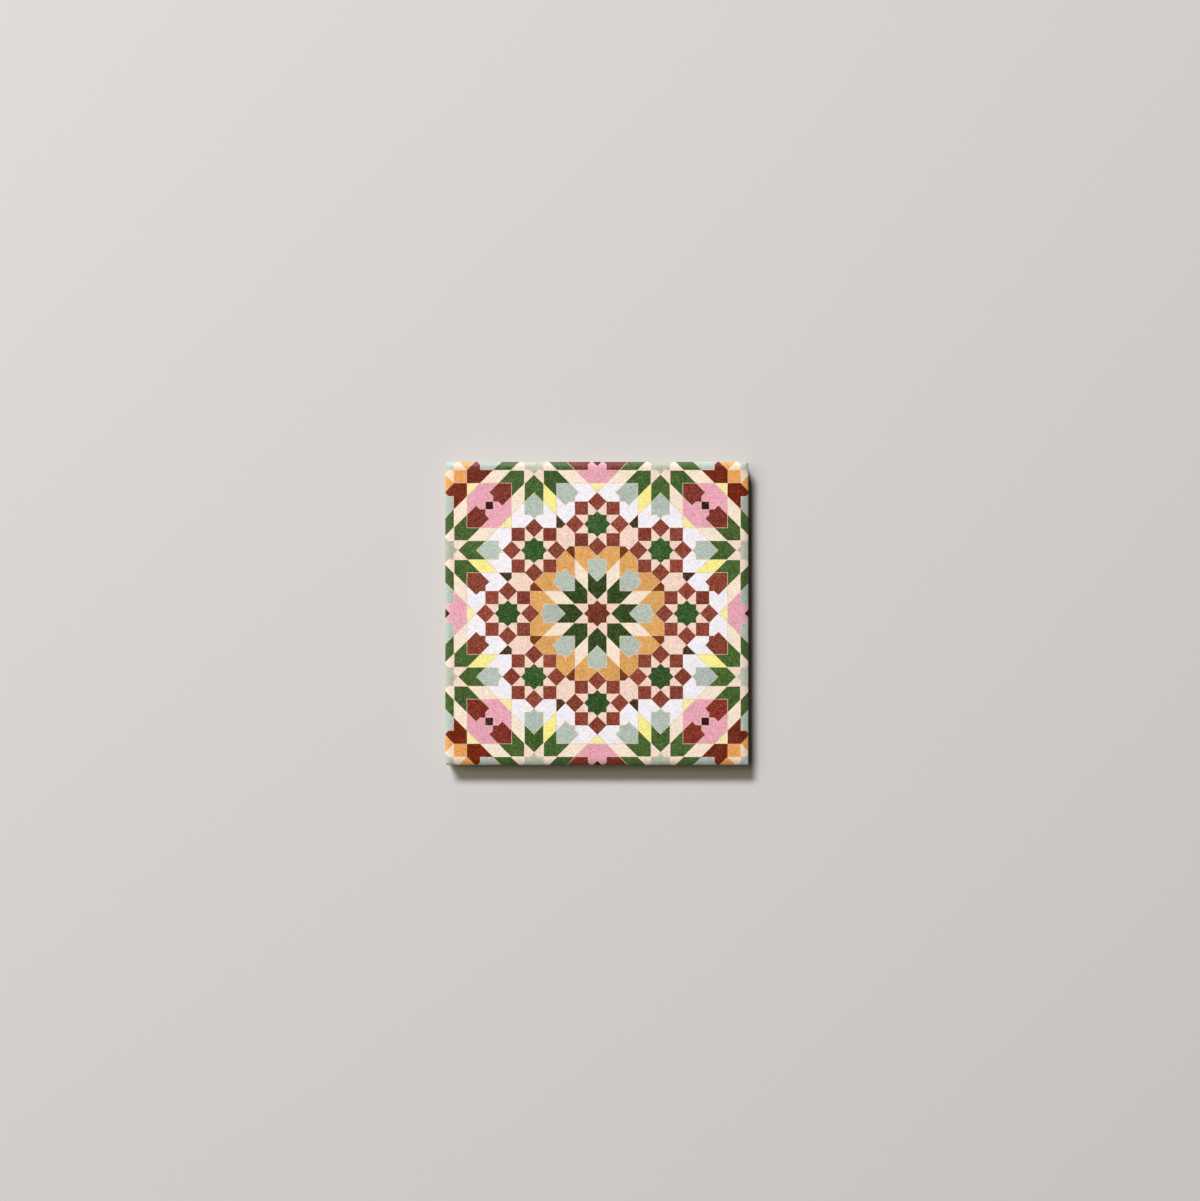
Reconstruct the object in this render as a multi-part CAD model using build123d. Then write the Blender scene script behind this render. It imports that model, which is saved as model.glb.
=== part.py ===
"""A small square wall tile, pressed and fired as one piece, lying face up.

The frame has its origin at the middle of the back, on the plane that the tile rests on.
X and Y run along the tile's edges, and +Z points out of the decorated face.
"""

from build123d import *
from math import cos, radians, sin, tan
import os

# The slab, in millimetres and degrees
SIDE = 97.8  # a ten centimetre tile, made smaller by the joint that it is laid with
THICKNESS = 6.5
CUSHION_RADIUS = 3.8  # the rim of the face rolls down gently
CUSHION_SLOPE = 32.0  # how steep it is by the time that it reaches the arris
ARRIS_RADIUS = 0.4  # where the glaze breaks over into the wall
CORNER_RADIUS = 0.8  # the upright corners, as the press die leaves them
WALL_DRAFT = 1.0  # the walls lean in towards the back, so that neighbours meet only at the face
BACK_CHAMFER = 0.4

# The keyed back: a waffle of shallow pockets that the bedding adhesive grips
POCKETS_PER_ROW = 8
POCKET_PITCH = 11.4
POCKET_WIDTH = 8.6  # at the mouth
POCKET_DEPTH = 0.6
POCKET_DRAFT = 35.0  # the pocket walls slope, so that the pressed tile leaves its die


def section():
    """The upright section from wall to wall, with its cushioned upper edges and its chamfered foot."""
    half = SIDE / 2
    slope = radians(CUSHION_SLOPE)
    flat = half - ARRIS_RADIUS - (CUSHION_RADIUS - ARRIS_RADIUS) * sin(slope)
    shoulder = THICKNESS - CUSHION_RADIUS + (CUSHION_RADIUS - ARRIS_RADIUS) * cos(slope)
    foot = half - (shoulder - BACK_CHAMFER) * tan(radians(WALL_DRAFT))
    seat = foot - BACK_CHAMFER
    under = Polyline(
        (-half, shoulder),
        (-foot, BACK_CHAMFER),
        (-seat, 0),
        (seat, 0),
        (foot, BACK_CHAMFER),
        (half, shoulder),
    )
    steep = 90 - CUSHION_SLOPE
    arris = CenterArc((half - ARRIS_RADIUS, shoulder), ARRIS_RADIUS, 0, steep)
    cushion = CenterArc((flat, THICKNESS - CUSHION_RADIUS), CUSHION_RADIUS, steep, CUSHION_SLOPE)
    rim = arris + cushion
    face = Line((flat, THICKNESS), (-flat, THICKNESS))
    return make_face(under + rim + face + mirror(rim, about=Plane.YZ))


def slab():
    """Two bars of the section, crossed, so that the cushioned edges meet in mitres at the four corners."""
    bar = extrude(Plane.XZ * section(), amount=SIDE / 2, both=True)
    outline = extrude(RectangleRounded(SIDE, SIDE, CORNER_RADIUS), amount=THICKNESS)
    return bar & (Rot(0, 0, 90) * bar) & outline


def key_pocket():
    """The hollow of one pocket, with its mouth on the back plane."""
    mouth = Rectangle(POCKET_WIDTH, POCKET_WIDTH)
    return extrude(mouth, amount=POCKET_DEPTH, taper=POCKET_DRAFT)


def tile():
    """The slab with its pockets, which leave a rib crossing at the middle of the back."""
    places = GridLocations(POCKET_PITCH, POCKET_PITCH, POCKETS_PER_ROW, POCKETS_PER_ROW)
    pocket = key_pocket()
    return slab() - [place * pocket for place in places]


os.makedirs("parts", exist_ok=True)
export_step(tile(), "parts/tile.step")
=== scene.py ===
"""Models a square mosaic tile: its printed face, its cushioned rim, its bare walls and its keyed back.

Everything is in metres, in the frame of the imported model: the back rests on Z = 0 and the face looks up.
The print is a mosaic of eight-fold rosettes and stars. Every outline in it is a walk along the eight
compass bearings, so each shape is ruled once, filled, and laid wherever the pattern repeats it.
"""

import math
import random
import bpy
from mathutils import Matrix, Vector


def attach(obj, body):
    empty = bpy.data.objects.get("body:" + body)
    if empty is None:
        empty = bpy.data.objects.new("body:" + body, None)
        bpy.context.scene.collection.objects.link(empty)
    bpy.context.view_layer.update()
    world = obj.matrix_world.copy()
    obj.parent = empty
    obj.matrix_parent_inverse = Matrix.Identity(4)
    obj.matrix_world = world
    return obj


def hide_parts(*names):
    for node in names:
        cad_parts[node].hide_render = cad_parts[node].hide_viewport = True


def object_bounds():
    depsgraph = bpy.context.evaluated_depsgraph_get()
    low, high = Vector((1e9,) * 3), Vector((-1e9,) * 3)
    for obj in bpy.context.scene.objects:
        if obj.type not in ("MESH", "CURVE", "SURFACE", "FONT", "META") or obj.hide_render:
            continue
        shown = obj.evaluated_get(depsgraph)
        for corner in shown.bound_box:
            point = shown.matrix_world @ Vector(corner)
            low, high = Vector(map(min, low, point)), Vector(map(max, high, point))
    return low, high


bl_info = {
    "name": "Square mosaic tile",
    "version": (1, 0, 0),
    "blender": (4, 5, 0),
    "location": "3D View > Sidebar > Tile",
    "description": "Builds a printed mosaic wall tile step by step, with its floor, light and camera",
    "category": "Mesh",
}

import bmesh
import bpy
from bpy.props import FloatProperty, FloatVectorProperty, IntProperty, PointerProperty

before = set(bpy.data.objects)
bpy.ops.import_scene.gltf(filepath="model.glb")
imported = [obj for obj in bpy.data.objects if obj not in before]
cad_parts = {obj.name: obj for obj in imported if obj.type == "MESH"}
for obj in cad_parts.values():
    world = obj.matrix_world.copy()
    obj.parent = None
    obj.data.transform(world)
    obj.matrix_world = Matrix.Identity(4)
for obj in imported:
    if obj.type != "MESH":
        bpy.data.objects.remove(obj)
CAD_LOW, CAD_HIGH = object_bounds()
SIDE = CAD_HIGH.x - CAD_LOW.x
FACE = CAD_HIGH.z
MM = 0.001

# Lengths of the mosaic's sides, in units of one square cut stone's side
LONG = math.sqrt(2)
SHORT = LONG - 1
HALF = LONG / 2
HUB = 2 - LONG
GAP = 0.065  # between the chevrons' points and the star, as the master was drawn

# Places in the repeat, in the same units, from the middle of the tile
CLUSTER_RING = 4 + 2 * LONG
HALF_REPEAT = 6 + 4 * LONG
ALONG_EDGE = 2 + 2 * LONG
MEDALLION = 4 + 3 * LONG
BETWEEN_CLUSTERS = (1 + LONG, 3 + 2 * LONG)

EAST, NORTHEAST, NORTH, NORTHWEST, WEST, SOUTHWEST, SOUTH, SOUTHEAST = range(8)
EIGHTH = math.pi / 4

# Each shape's first corner, then the bearing and length of every side but the closing one.
# Rosette shapes are ruled in the place that they have due north of the rosette's middle.
SHAPES = {
    "star": ((0, 1), [(bearing % 8, SHORT) for n in range(8) for bearing in (7 - n, 8 - n)][:-1]),
    "dart": ((0, 1), [(NORTHEAST, 1), (SOUTH, 1), (WEST, SHORT)]),
    "rosette_dart": (
        (0, 1),
        [
            (NORTH, GAP),
            (NORTHEAST, 1),
            (SOUTH, GAP),
            (NORTHEAST, GAP),
            (SOUTH, 1),
            (SOUTHWEST, GAP),
            (WEST, SHORT),
        ],
    ),
    "square": ((0, 1), [(NORTHEAST, 1), (NORTHWEST, 1), (SOUTHWEST, 1)]),
    "chevron": (
        (0, 1 + GAP),
        [(NORTHEAST, 1), (NORTH, LONG - GAP), (SOUTHWEST, 1), (NORTHWEST, 1), (SOUTH, LONG - GAP)],
    ),
    "shield": (
        (0, 1 + LONG),
        [
            (NORTHEAST, 1),
            (NORTH, 1),
            (WEST, SHORT),
            (NORTHWEST, SHORT),
            (SOUTHWEST, SHORT),
            (WEST, SHORT),
            (SOUTH, 1),
        ],
    ),
    "rhombus": (
        (HALF, 1 + HALF),
        [
            (NORTHEAST, GAP),
            (NORTHEAST, LONG - GAP),
            (NORTH, LONG),
            (SOUTHWEST, LONG),
            (SOUTH, LONG - GAP),
        ],
    ),
    "petal": (
        (0, 3 + LONG),
        [
            (SOUTHEAST, SHORT),
            (EAST, SHORT),
            (SOUTH, 1),
            (NORTHEAST, LONG),
            (NORTH, 1),
            (WEST, 1),
        ],
    ),
    "left_petal": (
        (0, 3 + LONG),
        [
            (SOUTHWEST, SHORT),
            (WEST, SHORT),
            (SOUTH, 1),
            (NORTHWEST, LONG),
            (NORTH, 1),
            (EAST, 1),
        ],
    ),
    "octagon": (
        (1 + HALF, 3 + LONG + HALF),
        [
            (NORTH, 1),
            (NORTHEAST, 1),
            (SOUTHEAST, SHORT),
            (EAST, SHORT),
            (SOUTH, 1),
            (SOUTHWEST, 1),
            (NORTHWEST, SHORT),
        ],
    ),
    "medallion_half": (
        (-HALF, 1 + HALF),
        [
            (EAST, LONG),
            (SOUTHEAST, LONG),
            (SOUTH, LONG),
            (NORTHWEST, 1),
            (SOUTHWEST, SHORT),
            (WEST, SHORT),
            (NORTH, HUB),
            (WEST, HUB),
            (NORTH, SHORT),
            (NORTHEAST, SHORT),
        ],
    ),
    "triangle": ((HALF, 1 + HALF), [(EAST, 1), (SOUTH, 1)]),
    "hub": ((-HUB / 2, HUB / 2), [(EAST, HUB), (SOUTH, HUB), (WEST, HUB)]),
}

MOTIFS = ("centre_rosette", "star_clusters", "edge_rosettes", "medallions")
TILE = "mosaic_tile"
WELD = 0.005 * MM
NEAR = 0.0005 * MM


def linear(code):
    """Turns a hex sRGB colour into linear red, green and blue."""
    shares = [int(code[i:i + 2], 16) / 255 for i in (1, 3, 5)]
    return [s / 12.92 if s <= 0.04045 else ((s + 0.055) / 1.055) ** 2.4 for s in shares]


def length(name, millimetres, description):
    """A length that a user may change, given in millimetres."""
    return FloatProperty(
        name=name, description=description, default=millimetres * MM, min=0, precision=5, unit="LENGTH"
    )


def angle(name, degrees, description):
    """An angle that a user may change, given in degrees."""
    return FloatProperty(
        name=name, description=description, default=math.radians(degrees), subtype="ANGLE"
    )


def power(name, watts, description):
    """The power of a lamp that a user may change, given in watts."""
    return FloatProperty(name=name, description=description, default=watts, min=0, unit="POWER")


def share(name, value, description):
    """A plain factor that a user may change."""
    return FloatProperty(name=name, description=description, default=value, min=0, subtype="FACTOR")


def colour(name, code, description):
    """A colour that a user may change, given as sRGB hex."""
    return FloatVectorProperty(
        name=name, description=description, default=linear(code), size=3, min=0, max=1, subtype="COLOR"
    )


class TILE_PG_print(bpy.types.PropertyGroup):
    """Sizes of the printed mosaic."""

    repeat: length("Repeat", 98.36, "Width of one repeat of the pattern, a little over the tile's side")
    shift: length("Shift", 0.15, "How far the print sits to the right of the tile's middle")
    line: length("Line", 0.1, "Width of the line inside the edge of each pale shape")
    seam: length("Seam", 0.075, "Half the width of the line between two dark shapes")
    wobble: length("Wobble", 0.06, "How far the corners of the shapes stray, as in a hand-drawn master")
    tone: share("Tone", 0.1, "How far the tone of a dark shape strays from its ink; pale ones stray less")
    veil: share("Veil", 0.002, "How unevenly the white ground shows through from shape to shape")
    seed: IntProperty(name="Seed", description="Picks another set of stray tones and corners", default=7)


class TILE_PG_inks(bpy.types.PropertyGroup):
    """Colours of the printing inks, as fired."""

    star_brown: colour("Star brown", "#6D2F15", "Middle star")
    square_brown: colour("Square brown", "#873E2D", "Squares round the green stars")
    shield_brown: colour("Shield brown", "#7D2E1F", "Shields in the medallions")
    border_brown: colour("Border brown", "#873D29", "Shields on the left and right borders")
    petal_brown: colour("Petal brown", "#731F00", "Petals in the corners")
    kite_brown: colour("Kite brown", "#763500", "Small kites outside the middle rosette")
    kite_black: colour("Kite black", "#452E1F", "Small kites between the star clusters")
    hub_black: colour("Hub black", "#321004", "Middle squares of the medallions")
    rosette_green: colour("Rosette green", "#2E4316", "Chevrons of the middle rosette")
    border_green: colour("Border green", "#415E26", "Chevrons of the border rosettes")
    star_green: colour("Star green", "#335422", "Stars of the ring")
    mint: colour("Mint", "#B7C1B3", "Shields of the middle rosette")
    border_mint: colour("Border mint", "#B2BDB2", "Shields of the border, and the corner stars")
    border_grey: colour("Border grey", "#B6BBA6", "Stars that the edges cut in half")
    cream: colour("Cream", "#F7E4CE", "Rhombi")
    peach: colour("Peach", "#F4D5C4", "Darts and octagons")
    border_peach: colour("Border peach", "#F5DCCA", "Darts of the border rosettes")
    corner_cream: colour("Corner cream", "#F4DBBD", "Darts of the corner stars")
    ochre: colour("Ochre", "#DEA45D", "Petals of the middle rosette")
    corner_ochre: colour("Corner ochre", "#E8A054", "Squares of the corner stars")
    yellow: colour("Yellow", "#F9EF8E", "Rhombi of the border rosettes")
    pale_yellow: colour("Pale yellow", "#F7ECA6", "Triangles of the medallions")
    pink: colour("Pink", "#E9A6B4", "Ground of the medallions")
    white: colour("White", "#F4EFF3", "Petals of the border rosettes")
    line: colour("Line", "#E6C8AF", "Pale line between the shapes")


class TILE_PG_body(bpy.types.PropertyGroup):
    """Sizes of the pressed body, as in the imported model."""

    cushion: length("Cushion", 3.8, "Radius of the rim of the face, which rolls down gently")
    steepest: angle("Cushion slope", 32.0, "Slope of the cushion where it reaches the arris")
    arris: length("Arris", 0.4, "Radius of the edge where the glaze breaks over into the wall")
    corner: length("Corner", 0.8, "Radius of the upright corners")
    draft: angle("Draft", 1.0, "Lean of the walls")
    chamfer: length("Chamfer", 0.4, "Bevel round the back")
    pitch: length("Pocket pitch", 11.4, "Distance from pocket to pocket on the back")
    pocket: length("Pocket width", 8.6, "Width of a pocket at its mouth")
    depth: length("Pocket depth", 0.6, "Depth of a pocket")
    slope: angle("Pocket slope", 35.0, "Lean of the pocket walls")
    soft: length("Softened edge", 0.12, "Rounding of the pockets' edges from firing")
    pockets: IntProperty(name="Pockets", description="Pockets along one side", default=8, min=1)
    biscuit: colour("Biscuit", "#8E7456", "Fired clay of the walls and the back")
    hem: length("Slip hem", 0.45, "How far the white slip under the glaze runs down the walls")


class TILE_PG_stage(bpy.types.PropertyGroup):
    """Floor, light and camera."""

    floor: colour("Floor", "#D2CFCB", "Plain pale floor")
    key: power("Key", 458.0, "Power of the main light")
    key_tint: colour("Key tint", "#F3F5FF", "Slightly cool colour of the main light")
    key_height: angle("Key height", 40.0, "Height of the main light over the floor")
    key_bearing: angle("Key bearing", 26.0, "Turn of the main light from straight behind towards the left")
    fill: power("Fill", 8.6, "Power of the soft light")
    fill_tint: colour("Fill tint", "#FFF8DB", "Warm colour of the soft light")
    sky: share("Sky", 0.03, "Light from all round")
    height: length("Camera height", 386.4, "Height of the camera over the face")
    lens: FloatProperty(name="Lens", description="Focal length, in millimetres", default=36.0, min=1)


def only(*chosen):
    """Selects these objects and nothing else, and makes the first one active."""
    bpy.ops.object.select_all(action="DESELECT")
    for item in chosen:
        item.select_set(True)
    bpy.context.view_layer.objects.active = chosen[0]


def edit(item):
    """Opens an object in edit mode."""
    only(item)
    bpy.ops.object.mode_set(mode="EDIT")


def close():
    """Goes back to object mode."""
    bpy.ops.object.mode_set(mode="OBJECT")


def pick(item, kind, wanted):
    """In edit mode, selects the vertices, edges or faces that pass a test, and nothing else."""
    bpy.ops.mesh.select_mode(type=kind)
    bpy.ops.mesh.select_all(action="DESELECT")
    mesh = bmesh.from_edit_mesh(item.data)
    parts = {"VERT": mesh.verts, "EDGE": mesh.edges, "FACE": mesh.faces}[kind]
    for part in parts:
        part.select_set(bool(wanted(part)))
    mesh.select_flush_mode()
    bmesh.update_edit_mesh(item.data)


def unit():
    """Side of one square stone of the mosaic, in metres."""
    return bpy.context.scene.tile_print.repeat / (2 * HALF_REPEAT)


def rule(name):
    """Rules a shape's outline side by side from a single point, and fills it."""
    first, sides = SHAPES[name]
    size = unit()
    bpy.ops.mesh.primitive_plane_add(size=size)
    shape = bpy.context.object
    shape.name = name
    edit(shape)
    bpy.ops.mesh.select_all(action="SELECT")
    bpy.ops.mesh.merge(type="CENTER")
    bpy.ops.transform.translate(value=(first[0] * size, first[1] * size, FACE))
    for bearing, reach in sides:
        step = (reach * size * math.cos(bearing * EIGHTH), reach * size * math.sin(bearing * EIGHTH), 0)
        bpy.ops.mesh.extrude_vertices_move(TRANSFORM_OT_translate={"value": step})
    bpy.ops.mesh.select_all(action="SELECT")
    bpy.ops.mesh.edge_face_add()
    close()
    return shape


def place(item, middle=(0, 0), eighths=0, mirrored=False):
    """Turns an object clockwise by eighths, moves it to a place in the pattern, and applies that."""
    only(item)
    item.scale.x = -1 if mirrored else 1
    item.rotation_euler.z = -eighths * EIGHTH
    item.location = (middle[0] * unit(), middle[1] * unit(), 0)
    bpy.ops.object.transform_apply(location=True, rotation=True, scale=True)
    return item


def copy(item):
    """Copies an object with its own mesh."""
    only(item)
    bpy.ops.object.duplicate()
    return bpy.context.object


def lay(name, ink, middle=(0, 0), eighths=0):
    """Copies one stencil, inks the copy and lays it in its place."""
    shape = place(copy(bpy.data.objects[name]), middle, eighths)
    for spot in shape.data.attributes.new("ink", "FLOAT_COLOR", "FACE").data:
        spot.color = (*ink, 1)
    return shape


def ring(item, middle=(0, 0), copies=8):
    """Repeats an object evenly round a point of the pattern."""
    edit(item)
    bpy.ops.mesh.select_all(action="SELECT")
    bpy.ops.mesh.spin(
        steps=copies - 1,
        dupli=True,
        angle=math.tau * (copies - 1) / copies,
        center=(middle[0] * unit(), middle[1] * unit(), 0),
        axis=(0, 0, 1),
    )
    close()
    return item


def join(name, *items):
    """Makes one object of several."""
    only(*items)
    if len(items) > 1:
        bpy.ops.object.join()
    items[0].name = name
    return items[0]


class TILE_OT_stencils(bpy.types.Operator):
    """Rule each shape of the mosaic once, for the motifs to copy"""

    bl_idname = "tile.stencils"
    bl_label = "Stencils"

    def execute(self, context):
        for name in SHAPES:
            rule(name)
        return {"FINISHED"}


class TILE_OT_centre_rosette(bpy.types.Operator):
    """Lay the rosette in the middle, out to the octagons and kites between the star clusters"""

    bl_idname = "tile.centre_rosette"
    bl_label = "Centre rosette"

    def execute(self, context):
        inks = context.scene.tile_inks
        rings = (
            ("rosette_dart", inks.peach, (0, 0), 0),
            ("chevron", inks.rosette_green, (0, 0), 0),
            ("shield", inks.mint, (0, 0), 0),
            ("rhombus", inks.cream, (0, 0), 0),
            ("petal", inks.ochre, (0, 0), 0),
            ("left_petal", inks.ochre, (0, 0), 0),
            ("octagon", inks.peach, (0, 0), 0),
            ("dart", inks.kite_black, BETWEEN_CLUSTERS, 0),
            ("dart", inks.kite_brown, BETWEEN_CLUSTERS, 4),
        )
        laid = [ring(lay(*shape)) for shape in rings]
        join("centre_rosette", lay("star", inks.star_brown), *laid)
        return {"FINISHED"}


class TILE_OT_star_clusters(bpy.types.Operator):
    """Lay the ring of eight stars, each with its squares, and the four stars on the tile's corners"""

    bl_idname = "tile.star_clusters"
    bl_label = "Star clusters"

    def execute(self, context):
        inks = context.scene.tile_inks
        kinds = (
            (inks.star_green, inks.square_brown, inks.peach, (0, CLUSTER_RING), 8),
            (inks.border_mint, inks.corner_ochre, inks.corner_cream, (HALF_REPEAT, HALF_REPEAT), 4),
        )
        laid = []
        for star, squares, darts, middle, copies in kinds:
            cluster = join(
                "cluster", lay("star", star), ring(lay("square", squares)), ring(lay("dart", darts))
            )
            laid.append(ring(place(cluster, middle), copies=copies))
        join("star_clusters", *laid)
        return {"FINISHED"}


class TILE_OT_edge_rosettes(bpy.types.Operator):
    """Lay the eight rosettes that the tile's edges cut in half"""

    bl_idname = "tile.edge_rosettes"
    bl_label = "Edge rosettes"

    def execute(self, context):
        inks = context.scene.tile_inks
        level = self.pair(inks, inks.border_mint, inks.shield_brown)
        upright = self.pair(inks, inks.border_brown, inks.border_mint)
        place(upright, eighths=2)
        join("edge_rosettes", ring(level, copies=2), ring(upright, copies=2))
        return {"FINISHED"}

    def pair(self, inks, inner_shield, outer_shield):
        """The rosette on the right half of the top edge, and its mirror image on the left half."""
        shapes = [("chevron", inks.border_green, turn) for turn in (2, 3, 4, 5, 6)]
        shapes += [
            ("shield", inks.border_mint, 2),
            ("shield", inks.shield_brown, 3),
            ("shield", inks.border_mint, 4),
            ("shield", inner_shield, 5),
            ("shield", outer_shield, 6),
            ("rhombus", inks.cream, 2),
            ("rhombus", inks.cream, 3),
            ("rhombus", inks.yellow, 4),
            ("rhombus", inks.cream, 5),
            ("petal", inks.white, 4),
            ("petal", inks.white, 5),
            ("left_petal", inks.white, 4),
            ("left_petal", inks.white, 5),
            ("petal", inks.petal_brown, 2),
        ]
        laid = [lay(name, ink, eighths=turn) for name, ink, turn in shapes]
        laid += [lay("star", inks.border_grey), ring(lay("rosette_dart", inks.border_peach))]
        right = place(join("edge_rosette", *laid), (ALONG_EDGE, HALF_REPEAT))
        left = place(copy(right), mirrored=True)
        return join("edge_pair", right, left)


class TILE_OT_medallions(bpy.types.Operator):
    """Lay the square medallions near the corners and the ones that the edges cut in half"""

    bl_idname = "tile.medallions"
    bl_label = "Medallions"

    def execute(self, context):
        inks = context.scene.tile_inks
        corner = join(
            "medallion",
            ring(lay("medallion_half", inks.pink), copies=2),
            ring(lay("triangle", inks.pale_yellow), copies=2),
            lay("hub", inks.hub_black),
        )
        edge = copy(corner)
        place(corner, (MEDALLION, MEDALLION))
        place(edge, (0, HALF_REPEAT), eighths=3)
        join("medallions", ring(corner, copies=4), ring(edge, copies=4))
        return {"FINISHED"}


class TILE_OT_printed_sheet(bpy.types.Operator):
    """Weld the motifs into one sheet, vary the tones and draw the lines between the shapes"""

    bl_idname = "tile.printed_sheet"
    bl_label = "Printed sheet"

    PALE = 0.35  # share of red light that a shape gives back; every dark ink gives back less

    def execute(self, context):
        sizes = context.scene.tile_print
        only(*[bpy.data.objects[name] for name in SHAPES])
        bpy.ops.object.delete()
        sheet = join(TILE, *[bpy.data.objects[name] for name in MOTIFS])
        edit(sheet)
        bpy.ops.mesh.select_mode(type="VERT")
        bpy.ops.mesh.select_all(action="SELECT")
        bpy.ops.mesh.remove_doubles(threshold=WELD)
        bpy.ops.mesh.normals_make_consistent(inside=False)
        bpy.ops.transform.vertex_random(offset=sizes.wobble, seed=sizes.seed)
        bpy.ops.transform.translate(value=(sizes.shift, 0, 0))
        self.stray_tones(sheet, sizes)
        self.draw_lines(sheet, sizes, context.scene.tile_inks.line)
        close()
        return {"FINISHED"}

    def stray_tones(self, sheet, sizes):
        """Makes each shape a little lighter, darker or paler than its ink."""
        draw = random.Random(sizes.seed)
        mesh = bmesh.from_edit_mesh(sheet.data)
        ink = mesh.faces.layers.float_color["ink"]
        for face in mesh.faces:
            parts = face[ink][:3]
            tone = 1 + draw.gauss(0, sizes.tone * (1 - max(parts)))
            veil = draw.gauss(0, sizes.veil)
            strayed = [part * tone + (1 - part) * veil for part in parts]
            face[ink] = [min(1, max(0, part)) for part in strayed] + [1]
        bmesh.update_edit_mesh(sheet.data)

    def draw_lines(self, sheet, sizes, line):
        """Draws a line just inside the edge of each pale shape, and one between any two dark shapes."""
        ink = bmesh.from_edit_mesh(sheet.data).faces.layers.float_color["ink"]
        pick(sheet, "FACE", lambda f: f[ink][0] > self.PALE)
        bpy.ops.mesh.inset(thickness=sizes.line, use_individual=True, use_select_inset=True)
        self.paint(sheet, line)
        ink = bmesh.from_edit_mesh(sheet.data).faces.layers.float_color["ink"]
        pick(
            sheet,
            "EDGE",
            lambda e: not e.is_boundary and max(f[ink][0] for f in e.link_faces) < self.PALE,
        )
        bpy.ops.mesh.bevel(offset=sizes.seam, segments=1, affect="EDGES")
        self.paint(sheet, line)

    def paint(self, sheet, tint):
        """Inks the faces that are selected."""
        mesh = bmesh.from_edit_mesh(sheet.data)
        ink = mesh.faces.layers.float_color["ink"]
        for face in mesh.faces:
            if face.select:
                face[ink] = (*tint, 1)
        bmesh.update_edit_mesh(sheet.data)


def rim(body, lean):
    """Distance from the middle of the tile, and height, where its rim has leaned over by an angle."""
    step = body.cushion - body.arris
    radius = body.cushion if lean < body.steepest else body.arris
    corner_x = SIDE / 2 - body.arris
    corner_z = FACE - body.cushion + step * math.cos(body.steepest)
    if lean < body.steepest:
        corner_x -= step * math.sin(body.steepest)
        corner_z -= step * math.cos(body.steepest)
    return corner_x + radius * math.sin(lean), corner_z + radius * math.cos(lean)


class TILE_OT_cushioned_rim(bpy.types.Operator):
    """Trim the sheet to the tile's outline and lay it over a former with a cushioned rim"""

    bl_idname = "tile.cushioned_rim"
    bl_label = "Cushioned rim"

    CUSHION_ROWS = 5
    ARRIS_ROWS = 4
    CORNER_ROWS = 6
    FINER = 4  # rows of the former for each row of the sheet
    FLAT_MARGIN = 0.5 * MM  # one more row inside the rim keeps the flat of the face flat
    SPARE = 0.004 * MM  # how far the former stands out past the sheet's edge
    DROP = 1 * MM  # how high over the former the sheet starts
    UPWARD = 0.5  # least upward share of the normal of a face that looks up

    def execute(self, context):
        body = context.scene.tile_body
        sheet = bpy.data.objects[TILE]
        edit(sheet)
        half = SIDE / 2
        self.cut(sheet, half, trim=True)
        pick(sheet, "VERT", lambda v: min(abs(v.co.x), abs(v.co.y)) > half - NEAR)
        bpy.ops.mesh.bevel(offset=body.corner, segments=self.CORNER_ROWS, affect="VERTICES")
        flat = rim(body, 0)[0]
        self.cut(sheet, flat - self.FLAT_MARGIN)
        for lean in self.leans(body, 1)[:-1]:
            self.cut(sheet, rim(body, lean)[0])
        for normal in ((1, 1, 0), (1, -1, 0)):
            pick(sheet, "FACE", lambda f: min(abs(p) for p in f.calc_center_median()[:2]) > flat - NEAR)
            bpy.ops.mesh.bisect(plane_co=(0, 0, 0), plane_no=normal, threshold=NEAR)
        bpy.ops.mesh.select_all(action="SELECT")
        bpy.ops.transform.translate(value=(0, 0, self.DROP))
        close()
        self.drape(sheet, self.former(body))
        return {"FINISHED"}

    def leans(self, body, finer):
        """The angles of the rows across the rim, from the flat of the face to the upright wall."""
        cushion = self.CUSHION_ROWS * finer
        arris = self.ARRIS_ROWS * finer
        upright = math.pi / 2 - body.steepest
        gentle = [body.steepest * row / cushion for row in range(cushion)]
        return gentle + [body.steepest + upright * row / arris for row in range(arris + 1)]

    def cut(self, sheet, distance, trim=False):
        """Cuts the sheet along four lines at a distance from its middle."""
        for normal in ((1, 0, 0), (-1, 0, 0), (0, 1, 0), (0, -1, 0)):
            bpy.ops.mesh.select_all(action="SELECT")
            bpy.ops.mesh.bisect(
                plane_co=[part * distance for part in normal],
                plane_no=normal,
                clear_outer=trim,
                threshold=NEAR,
            )

    def former(self, body):
        """A block with the pressed body's upper shape, a hair larger so that the sheet's edge meets it."""
        rows = [rim(body, lean) for lean in reversed(self.leans(body, self.FINER))]
        shoulder = rows[0][1]
        bpy.ops.mesh.primitive_cube_add(size=1, location=(0, 0, shoulder / 2))
        block = bpy.context.object
        block.scale = (SIDE + 2 * self.SPARE, SIDE + 2 * self.SPARE, shoulder)
        bpy.ops.object.transform_apply(location=True, rotation=True, scale=True)
        edit(block)
        pick(block, "FACE", lambda f: f.normal.z > self.UPWARD)
        for (outer, low), (inner, high) in zip(rows, rows[1:]):
            bpy.ops.mesh.inset(thickness=outer - inner, depth=high - low)
        close()
        return block

    def drape(self, sheet, former):
        """Lowers every corner of the sheet straight down onto the former, then takes the former away."""
        only(sheet)
        bpy.ops.object.modifier_add(type="SHRINKWRAP")
        wrap = sheet.modifiers[-1]
        wrap.target = former
        wrap.wrap_method = "PROJECT"
        wrap.use_project_z = True
        wrap.use_negative_direction = True
        wrap.use_positive_direction = False
        bpy.ops.object.modifier_apply(modifier=wrap.name)
        only(former)
        bpy.ops.object.delete()


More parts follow.
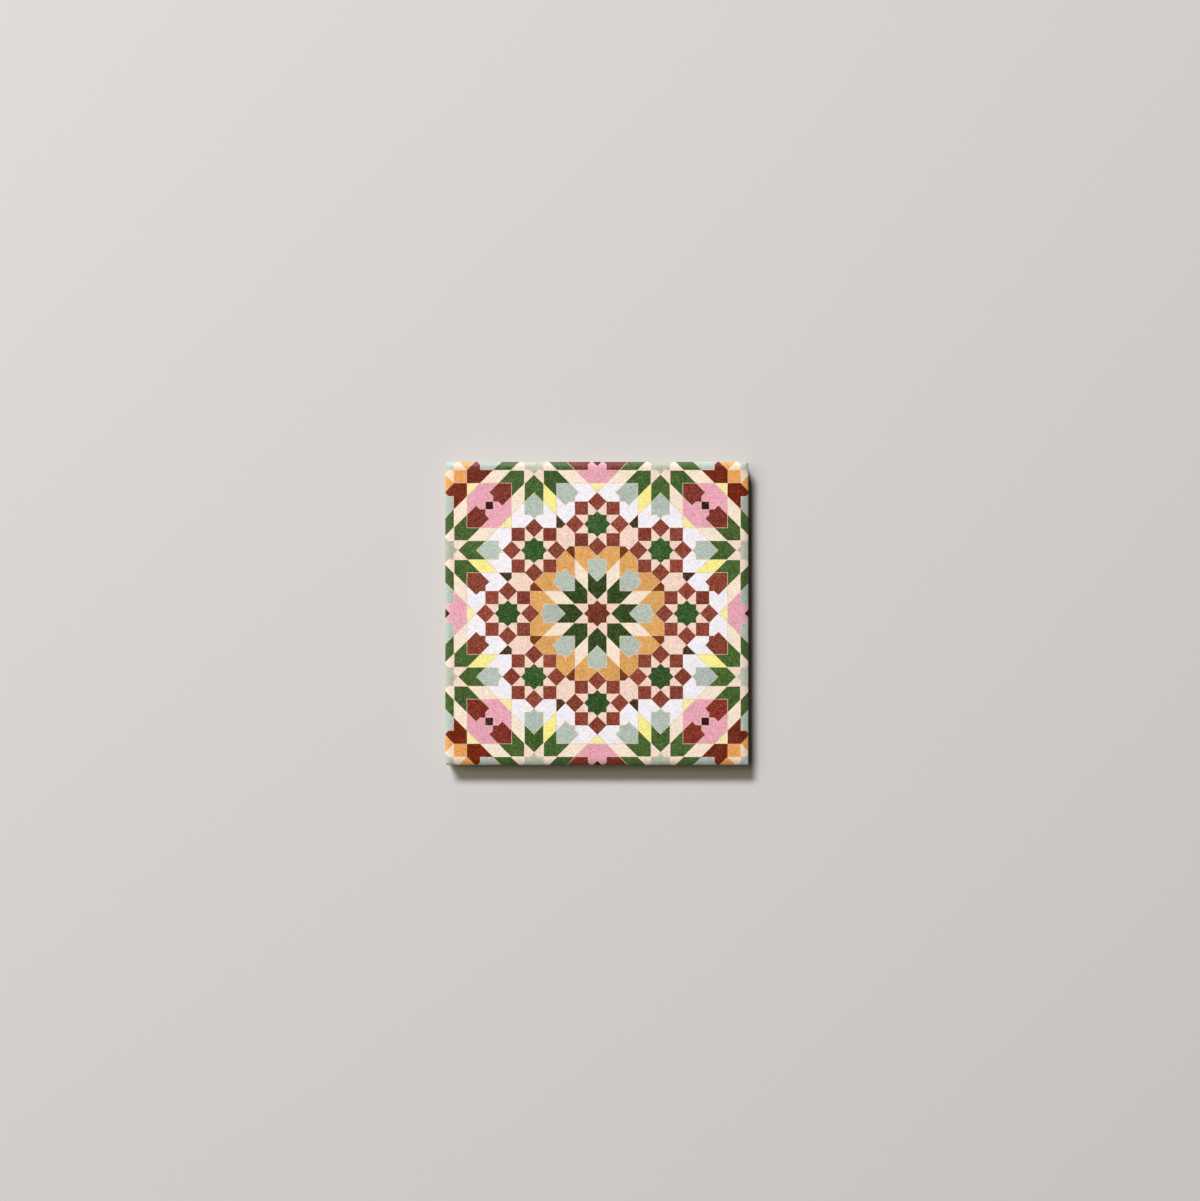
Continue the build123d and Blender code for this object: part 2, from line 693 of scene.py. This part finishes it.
class TILE_OT_pressed_walls(bpy.types.Operator):
    """Carry the sheet's edge down into the leaning walls and the chamfer round the back"""

    bl_idname = "tile.pressed_walls"
    bl_label = "Pressed walls"

    SHOULDER = 0.2 * MM  # an upright row under the arris, before the wall starts to lean

    def execute(self, context):
        body = context.scene.tile_body
        tile = bpy.data.objects[TILE]
        edit(tile)
        pick(tile, "EDGE", lambda e: e.is_boundary)
        shoulder = rim(body, math.pi / 2)[1] - self.SHOULDER
        lean = (shoulder - body.chamfer) * math.tan(body.draft)
        self.carry_down(shoulder, 0)
        self.carry_down(body.chamfer, lean)
        self.carry_down(0, body.chamfer)
        close()
        return {"FINISHED"}

    def carry_down(self, height, inward):
        """Extrudes the open edge, draws it in by a distance and levels it at a height."""
        bpy.ops.mesh.extrude_edges_move()
        shrink = 1 - inward / (SIDE / 2)
        bpy.ops.transform.resize(value=(shrink, shrink, 0), center_override=(0, 0, 0))
        bpy.ops.transform.translate(value=(0, 0, height))


class TILE_OT_keyed_back(bpy.types.Operator):
    """Close the back with its waffle of shallow pockets"""

    bl_idname = "tile.keyed_back"
    bl_label = "Keyed back"

    STEEP = math.radians(10)  # edges that turn by more than this are softened
    SOFT_ROWS = 2

    def execute(self, context):
        body = context.scene.tile_body
        tile = bpy.data.objects[TILE]
        bpy.ops.object.select_all(action="DESELECT")
        bpy.ops.mesh.primitive_grid_add(
            x_subdivisions=body.pockets, y_subdivisions=body.pockets, size=body.pitch * body.pockets
        )
        back = bpy.context.object
        edit(back)
        bpy.ops.mesh.select_all(action="SELECT")
        bpy.ops.mesh.inset(thickness=(body.pitch - body.pocket) / 2, use_individual=True)
        bpy.ops.mesh.inset(
            thickness=body.depth * math.tan(body.slope), depth=body.depth, use_individual=True
        )
        pick(back, "EDGE", lambda e: not e.is_boundary and e.calc_face_angle() > self.STEEP)
        bpy.ops.mesh.bevel(offset=body.soft, segments=self.SOFT_ROWS, affect="EDGES")
        close()
        join(TILE, tile, back)
        edit(tile)
        pick(tile, "EDGE", lambda e: e.is_boundary)
        bpy.ops.mesh.fill()
        bpy.ops.mesh.select_all(action="SELECT")
        bpy.ops.mesh.normals_make_consistent(inside=False)
        close()
        return {"FINISHED"}


# Where a noise mostly lies, and where two added up do
WIDE_NOISE = {"From Min": 0.25, "From Max": 0.75}
NARROW_NOISE = {"From Min": 0.3, "From Max": 0.7}
PAIRED_NOISE = {"From Min": 0.7, "From Max": 1.3}


def add(tree, kind, inputs=None, **settings):
    """Adds a node with its settings, and gives each named input a value or a link."""
    node = tree.nodes.new(kind)
    for name, value in settings.items():
        setattr(node, name, value)
    for socket, value in (inputs or {}).items():
        if isinstance(value, bpy.types.NodeSocket):
            tree.links.new(value, node.inputs[socket])
        else:
            node.inputs[socket].default_value = value
    return node


def empty_material(name):
    """A material with its shader and nothing linked to it."""
    material = bpy.data.materials.new(name)
    material.use_nodes = True
    return material, material.node_tree, material.node_tree.nodes["Principled BSDF"]


def printed_satin_glaze(thinned_glaze_and_sheen_top, thinned_glaze_and_sheen_foot):
    """Screen-printed ceramic ink under a satin glaze.

    It gives the eye a soft sheen along the rim, inks that mottle, and a skin like fine orange peel. Over
    the rim the inks are painted paler, partly for thinned glaze and partly as a painted sheen. The dots
    of the screen, about a tenth of a millimetre, are too fine to show, so the grain is drawn coarser,
    and strongest in the dark inks.
    """
    cloud_size = 2 * MM
    grain_size = 0.2 * MM
    skin_size = 0.9 * MM
    skin_depth = 0.05 * MM
    eye_gamma = 2.2  # tones are mixed in steps that look even to the eye
    cloud_tone = 0.02
    dark_ink = 0.3
    dark_grain = 0.26
    pale_ink = 0.95
    pale_grain = 0.14
    # how much paler the inks are painted at the foot of the rim: partly thinned glaze, partly a painted
    # sheen
    thinned_glaze_and_sheen_tone = 0.04
    glossiest = 0.37
    dullest = 0.44
    material, tree, shader = empty_material("printed satin glaze")
    spot = add(tree, "ShaderNodeTexCoord").outputs["Object"]
    ink = add(tree, "ShaderNodeAttribute", attribute_name="ink").outputs["Color"]
    clouds = add(tree, "ShaderNodeTexNoise", {"Vector": spot, "Scale": 1 / cloud_size, "Detail": 2.0})
    grain = add(tree, "ShaderNodeTexNoise", {"Vector": spot, "Scale": 1 / grain_size, "Detail": 2.0})
    cloudy = add(
        tree,
        "ShaderNodeMapRange",
        {**WIDE_NOISE, "Value": clouds.outputs["Fac"], "To Min": -cloud_tone, "To Max": cloud_tone},
    )
    grainy = add(
        tree,
        "ShaderNodeMapRange",
        {**WIDE_NOISE, "Value": grain.outputs["Fac"], "To Min": -1.0, "To Max": 1.0},
    )
    seen = add(tree, "ShaderNodeGamma", {"Color": ink, "Gamma": 1 / eye_gamma})
    paleness = add(tree, "ShaderNodeRGBToBW", {"Color": seen.outputs["Color"]})
    depth = add(
        tree,
        "ShaderNodeMapRange",
        {
            "Value": paleness.outputs["Val"],
            "From Min": dark_ink,
            "From Max": pale_ink,
            "To Min": dark_grain,
            "To Max": pale_grain,
        },
    )
    uneven = add(
        tree,
        "ShaderNodeMath",
        {0: grainy.outputs["Result"], 1: depth.outputs["Result"], 2: cloudy.outputs["Result"]},
        operation="MULTIPLY_ADD",
    )
    height = add(tree, "ShaderNodeSeparateXYZ", {"Vector": spot}).outputs["Z"]
    # inks painted paler down the rim towards the arris: partly thinned glaze, partly a painted sheen
    thinned_glaze_and_sheen = add(
        tree,
        "ShaderNodeMapRange",
        {"Value": height, "From Min": thinned_glaze_and_sheen_foot, "From Max": thinned_glaze_and_sheen_top, "To Min": thinned_glaze_and_sheen_tone, "To Max": 0.0},
    )
    paler = add(
        tree,
        "ShaderNodeMath",
        {0: uneven.outputs["Value"], 1: thinned_glaze_and_sheen.outputs["Result"]},
        operation="ADD",
    )
    mottled = add(
        tree,
        "ShaderNodeVectorMath",
        {0: seen.outputs["Color"], 1: paler.outputs["Value"]},
        operation="ADD",
    )
    fired = add(tree, "ShaderNodeGamma", {"Color": mottled.outputs["Vector"], "Gamma": eye_gamma})
    sheen = add(
        tree,
        "ShaderNodeMapRange",
        {**NARROW_NOISE, "Value": clouds.outputs["Fac"], "To Min": glossiest, "To Max": dullest},
    )
    skin = add(tree, "ShaderNodeTexNoise", {"Vector": spot, "Scale": 1 / skin_size, "Detail": 2.0})
    bump = add(
        tree,
        "ShaderNodeBump",
        {"Strength": 0.25, "Distance": skin_depth, "Height": skin.outputs["Fac"]},
    )
    shader.inputs["Specular IOR Level"].default_value = 0.3
    tree.links.new(fired.outputs["Color"], shader.inputs["Base Color"])
    tree.links.new(sheen.outputs["Result"], shader.inputs["Roughness"])
    tree.links.new(bump.outputs["Normal"], shader.inputs["Normal"])
    return material


def fired_biscuit(clay, hem_top, hem_foot):
    """Bare pressed clay, fired once.

    It gives the eye a matte, chalky surface with a sandy grain and small dark specks of grog. The press die
    leaves faint upright drag marks on the walls. The white slip that the glaze lies on runs a little way
    down them and ends in an uneven hem.
    """
    cloud_size = 4 * MM
    cloud_shade = 0.9
    cloud_light = 1.08
    grain_size = 0.35 * MM
    grain_depth = 0.1 * MM
    drag_width = 0.8 * MM
    drag_stretch = 12
    sand_shade = 0.14
    sand_light = 0.1
    grog_spacing = 1.6 * MM
    grog_core = 0.06  # reach of a speck's dark core, and below of its soft edge, as shares of the spacing
    grog_edge = 0.14
    grog_tone = 0.5
    hem_wander = 0.5 * MM
    hem_softness = (hem_top - hem_foot) / 4
    slip_brightness = 1.7
    slip_colour = 0.45
    material, tree, shader = empty_material("fired biscuit")
    spot = add(tree, "ShaderNodeTexCoord").outputs["Object"]
    clouds = add(tree, "ShaderNodeTexNoise", {"Vector": spot, "Scale": 1 / cloud_size, "Detail": 4.0})
    grain = add(tree, "ShaderNodeTexNoise", {"Vector": spot, "Scale": 1 / grain_size, "Detail": 2.0})
    upright = add(tree, "ShaderNodeMapping", {"Vector": spot, "Scale": (1, 1, 1 / drag_stretch)})
    drags = add(
        tree,
        "ShaderNodeTexNoise",
        {"Vector": upright.outputs["Vector"], "Scale": 1 / drag_width, "Detail": 2.0},
    )
    rough = add(
        tree,
        "ShaderNodeMath",
        {0: grain.outputs["Fac"], 1: drags.outputs["Fac"]},
        operation="ADD",
    )
    sandy = add(
        tree,
        "ShaderNodeMapRange",
        {**PAIRED_NOISE, "Value": rough.outputs["Value"], "To Min": -sand_shade, "To Max": sand_light},
    )
    grog = add(tree, "ShaderNodeTexVoronoi", {"Vector": spot, "Scale": 1 / grog_spacing})
    tone = add(
        tree,
        "ShaderNodeMapRange",
        {**NARROW_NOISE, "Value": clouds.outputs["Fac"], "To Min": cloud_shade, "To Max": cloud_light},
    )
    grained = add(
        tree,
        "ShaderNodeMath",
        {0: tone.outputs["Result"], 1: sandy.outputs["Result"]},
        operation="ADD",
    )
    specked = add(
        tree,
        "ShaderNodeMapRange",
        {
            "Value": grog.outputs["Distance"],
            "From Min": grog_core,
            "From Max": grog_edge,
            "To Min": grog_tone,
            "To Max": 1.0,
        },
    )
    clay_tone = add(
        tree,
        "ShaderNodeMath",
        {0: grained.outputs["Value"], 1: specked.outputs["Result"]},
        operation="MULTIPLY",
    )
    height = add(tree, "ShaderNodeSeparateXYZ", {"Vector": spot}).outputs["Z"]
    ragged = add(
        tree,
        "ShaderNodeMath",
        {0: clouds.outputs["Fac"], 1: hem_wander, 2: height},
        operation="MULTIPLY_ADD",
    )
    middle = hem_foot + hem_wander / 2
    hem = {"Value": ragged.outputs["Value"], "From Min": middle, "From Max": middle + hem_softness}
    whiter = add(tree, "ShaderNodeMapRange", {**hem, "To Min": 1.0, "To Max": slip_brightness})
    greyer = add(tree, "ShaderNodeMapRange", {**hem, "To Min": 1.0, "To Max": slip_colour})
    brightness = add(
        tree,
        "ShaderNodeMath",
        {0: clay_tone.outputs["Value"], 1: whiter.outputs["Result"]},
        operation="MULTIPLY",
    )
    fired = add(
        tree,
        "ShaderNodeHueSaturation",
        {"Color": (*clay, 1), "Saturation": greyer.outputs["Result"], "Value": brightness.outputs["Value"]},
    )
    bump = add(
        tree,
        "ShaderNodeBump",
        {"Strength": 0.6, "Distance": grain_depth, "Height": rough.outputs["Value"]},
    )
    tree.links.new(fired.outputs["Color"], shader.inputs["Base Color"])
    tree.links.new(bump.outputs["Normal"], shader.inputs["Normal"])
    shader.inputs["Roughness"].default_value = 0.9
    return material


class TILE_OT_finishes(bpy.types.Operator):
    """Give the face its printed glaze and the walls and back their bare clay"""

    bl_idname = "tile.finishes"
    bl_label = "Finishes"

    SMOOTH = math.radians(30)
    THINNED_GLAZE_AND_SHEEN_LEAN = math.radians(12)  # the lean of the rim from which the inks are painted paler, for thinned glaze and a painted sheen

    def execute(self, context):
        body = context.scene.tile_body
        tile = bpy.data.objects[TILE]
        tile.data.materials.clear()
        shoulder = rim(body, math.pi / 2)[1]
        # the glaze's inks are painted paler over the rim, for thinned glaze and a painted sheen
        tile.data.materials.append(
            printed_satin_glaze(rim(body, self.THINNED_GLAZE_AND_SHEEN_LEAN)[1], rim(body, body.steepest)[1])
        )
        tile.data.materials.append(fired_biscuit(body.biscuit, shoulder, shoulder - body.hem))
        for face in tile.data.polygons:
            face.material_index = 0 if face.center.z > shoulder else 1
        only(tile)
        bpy.ops.object.shade_smooth_by_angle(angle=self.SMOOTH)
        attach(tile, "root")
        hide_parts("tile")
        return {"FINISHED"}


class TILE_OT_flat_map(bpy.types.Operator):
    """Unfold the faces onto a map: the print large, the back squeezed in beside it, the walls above"""

    bl_idname = "tile.flat_map"
    bl_label = "Flat map"

    MARGIN = 0.01
    PRINT_SHARE = 0.82
    BACK_SHARE = 0.15
    STRIP_SHARE = 0.034
    CHAMFER_TILT = math.cos(EIGHTH)  # the chamfer goes with the back, and not with the walls

    def execute(self, context):
        mesh = bpy.data.objects[TILE].data
        spots = mesh.uv_layers.new(name="OFBake").data
        for face in mesh.polygons:
            for corner in face.loop_indices:
                point = mesh.vertices[mesh.loops[corner].vertex_index].co
                spots[corner].uv = self.spot(face, point)
        return {"FINISHED"}

    def spot(self, face, point):
        """Where a corner of a face lies on the map."""
        across = self.MARGIN + self.PRINT_SHARE * (point.x / SIDE + 0.5)
        along = self.MARGIN + self.PRINT_SHARE * (point.y / SIDE + 0.5)
        right = 2 * self.MARGIN + self.PRINT_SHARE
        upright = abs(face.normal.z) < self.CHAMFER_TILT - NEAR
        if face.material_index == 0:
            return across, along
        if not upright:
            return right + self.BACK_SHARE * (point.x / SIDE + 0.5), along
        sideways = abs(face.normal.x) > abs(face.normal.y)
        far = face.normal.x + face.normal.y > 0
        strip = 2 * sideways + far
        step = self.STRIP_SHARE + self.MARGIN / 2
        return along if sideways else across, right + step * strip + self.STRIP_SHARE * point.z / FACE


class TILE_OT_stage(bpy.types.Operator):
    """Set out the pale floor, the lamps and the camera"""

    bl_idname = "tile.stage"
    bl_label = "Stage"

    FLOOR_SIZE = 4.0
    FLOOR_GAP = 0.02 * MM
    FADE_START = 0.3
    FADE_END = 0.75
    KEY_DISTANCE = 6.0
    KEY_SIZE = (2.0, 1.0)
    FILL_PLACE = (-0.9, 0.4, 1.2)
    FILL_SIZE = (1.0, 1.0)
    CAMERA_PLACE = (1.03 * MM, 4.18 * MM)
    NEAREST_SEEN = 0.01

    def execute(self, context):
        stage = context.scene.tile_stage
        bpy.ops.object.select_all(action="DESELECT")
        bpy.ops.mesh.primitive_plane_add(size=self.FLOOR_SIZE, location=(0, 0, -self.FLOOR_GAP))
        floor = context.object
        floor.name = "floor"
        bpy.ops.object.transform_apply(location=True, rotation=True, scale=True)
        floor.data.materials.append(self.pale_floor(stage.floor))
        self.light(context, stage)
        bpy.ops.object.camera_add(location=(*self.CAMERA_PLACE, FACE + stage.height), rotation=(0, 0, 0))
        camera = context.object
        camera.data.sensor_fit = "HORIZONTAL"
        camera.data.lens = stage.lens
        camera.data.clip_start = self.NEAREST_SEEN
        context.scene.camera = camera
        context.scene.view_settings.view_transform = "Standard"
        return {"FINISHED"}

    def pale_floor(self, tint):
        """Smooth matte plaster, plain and pale, that fades into the background far from the tile."""
        material, tree, shader = empty_material("pale plaster")
        shader.inputs["Base Color"].default_value = (*tint, 1)
        shader.inputs["Roughness"].default_value = 0.9
        spot = add(tree, "ShaderNodeTexCoord").outputs["Object"]
        away = add(tree, "ShaderNodeVectorMath", {0: spot}, operation="LENGTH")
        far = add(
            tree,
            "ShaderNodeMapRange",
            {"Value": away.outputs["Value"], "From Min": self.FADE_START, "From Max": self.FADE_END},
            interpolation_type="SMOOTHSTEP",
        )
        path = add(tree, "ShaderNodeLightPath")
        seen = add(
            tree,
            "ShaderNodeMath",
            {0: far.outputs["Result"], 1: path.outputs["Is Camera Ray"]},
            operation="MULTIPLY",
        )
        plain = add(tree, "ShaderNodeEmission", {"Color": (*tint, 1)})
        faded = add(
            tree,
            "ShaderNodeMixShader",
            {0: seen.outputs["Value"], 1: shader.outputs["BSDF"], 2: plain.outputs["Emission"]},
        )
        tree.links.new(faded.outputs["Shader"], tree.nodes["Material Output"].inputs["Surface"])
        return material

    def light(self, context, stage):
        """A broad window behind and to the left, a soft lamp that adds no gloss, and a little sky."""
        across = self.KEY_DISTANCE * math.cos(stage.key_height)
        window = (
            -across * math.sin(stage.key_bearing),
            across * math.cos(stage.key_bearing),
            self.KEY_DISTANCE * math.sin(stage.key_height),
        )
        self.lamp(window, self.KEY_SIZE, stage.key, stage.key_tint)
        fill = self.lamp(self.FILL_PLACE, self.FILL_SIZE, stage.fill, stage.fill_tint)
        fill.visible_glossy = False
        self.pale_sky(context, stage)

    def pale_sky(self, context, stage):
        """A faint light from all round, which the camera sees as pale as the floor."""
        world = bpy.data.worlds.new("studio")
        world.use_nodes = True
        tree = world.node_tree
        faint = add(
            tree, "ShaderNodeBackground", {"Color": (*stage.fill_tint, 1), "Strength": stage.sky}
        )
        pale = add(tree, "ShaderNodeBackground", {"Color": (*stage.floor, 1)})
        path = add(tree, "ShaderNodeLightPath")
        seen = add(
            tree,
            "ShaderNodeMixShader",
            {
                0: path.outputs["Is Camera Ray"],
                1: faint.outputs["Background"],
                2: pale.outputs["Background"],
            },
        )
        tree.links.new(seen.outputs["Shader"], tree.nodes["World Output"].inputs["Surface"])
        context.scene.world = world

    def lamp(self, spot, size, watts, tint):
        """Hangs a flat lamp that faces the tile."""
        x, y, z = spot
        turn = (math.atan2(math.hypot(x, y), z), 0, math.atan2(-x, y) + math.pi)
        bpy.ops.object.light_add(type="AREA", location=spot, rotation=turn)
        lamp = bpy.context.object
        lamp.data.shape = "RECTANGLE"
        lamp.data.size, lamp.data.size_y = size
        lamp.data.energy = watts
        lamp.data.color = tint
        return lamp


class TILE_PT_steps(bpy.types.Panel):
    """Lists the steps in the order in which they are taken"""

    bl_idname = "TILE_PT_steps"
    bl_label = "Mosaic tile"
    bl_space_type = "VIEW_3D"
    bl_region_type = "UI"
    bl_category = "Tile"

    def draw(self, context):
        for step in STEPS:
            self.layout.operator(step.bl_idname)


STEPS = (
    TILE_OT_stencils,
    TILE_OT_centre_rosette,
    TILE_OT_star_clusters,
    TILE_OT_edge_rosettes,
    TILE_OT_medallions,
    TILE_OT_printed_sheet,
    TILE_OT_cushioned_rim,
    TILE_OT_pressed_walls,
    TILE_OT_keyed_back,
    TILE_OT_finishes,
    TILE_OT_flat_map,
    TILE_OT_stage,
)
GROUPS = {
    "tile_print": TILE_PG_print,
    "tile_inks": TILE_PG_inks,
    "tile_body": TILE_PG_body,
    "tile_stage": TILE_PG_stage,
}


def register():
    """Registers the classes and hangs the settings on the scene."""
    for group in (*GROUPS.values(), *STEPS, TILE_PT_steps):
        bpy.utils.register_class(group)
    for name, group in GROUPS.items():
        setattr(bpy.types.Scene, name, PointerProperty(type=group))


def unregister():
    """Takes the settings and the classes away again."""
    for name in GROUPS:
        delattr(bpy.types.Scene, name)
    for group in reversed((*GROUPS.values(), *STEPS, TILE_PT_steps)):
        bpy.utils.unregister_class(group)


def main():
    """Takes every step in order."""
    register()
    for step in STEPS:
        family, name = step.bl_idname.split(".")
        getattr(getattr(bpy.ops, family), name)()


if __name__ == "__main__":
    main()
